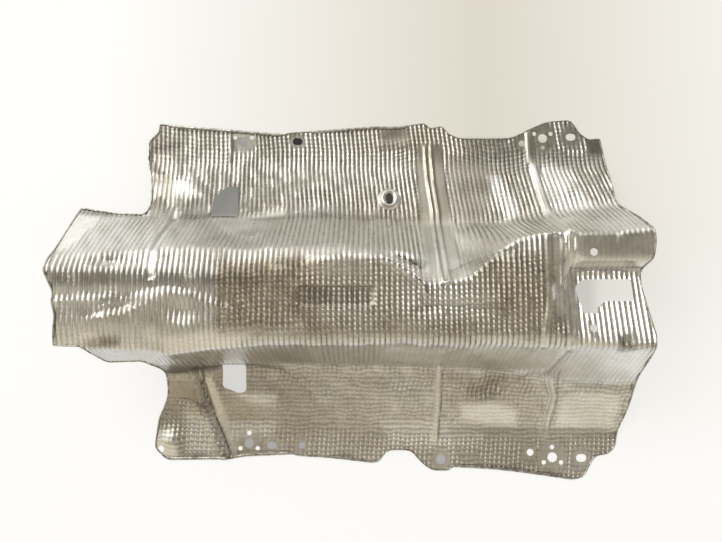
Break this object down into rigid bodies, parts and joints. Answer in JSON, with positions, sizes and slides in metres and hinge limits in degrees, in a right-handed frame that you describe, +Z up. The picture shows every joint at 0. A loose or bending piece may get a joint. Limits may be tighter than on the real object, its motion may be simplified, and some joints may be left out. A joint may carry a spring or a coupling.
{
  "type": "exhaust tunnel heat shield",
  "caption": "Thin corrugated aluminium sheet pressed into a hat-shaped tunnel with side flanges, to shield an underbody from an exhaust.",
  "frame": {"origin": "on the ground plane that the flanges lie on, under the middle of the sheet's outline", "axes": "+X along the exhaust tunnel towards the end with the crest window, +Y across it, +Z up out of the tunnel's crest"},
  "size_m": [0.8003, 0.5358, 0.1313],
  "materials": {
    "sheet": "embossed, dulled and patchily browned by heat and dirt"
  },
  "bodies": {
    "root": {"heat_shield": "sheet"}
  },
  "joints": []
}
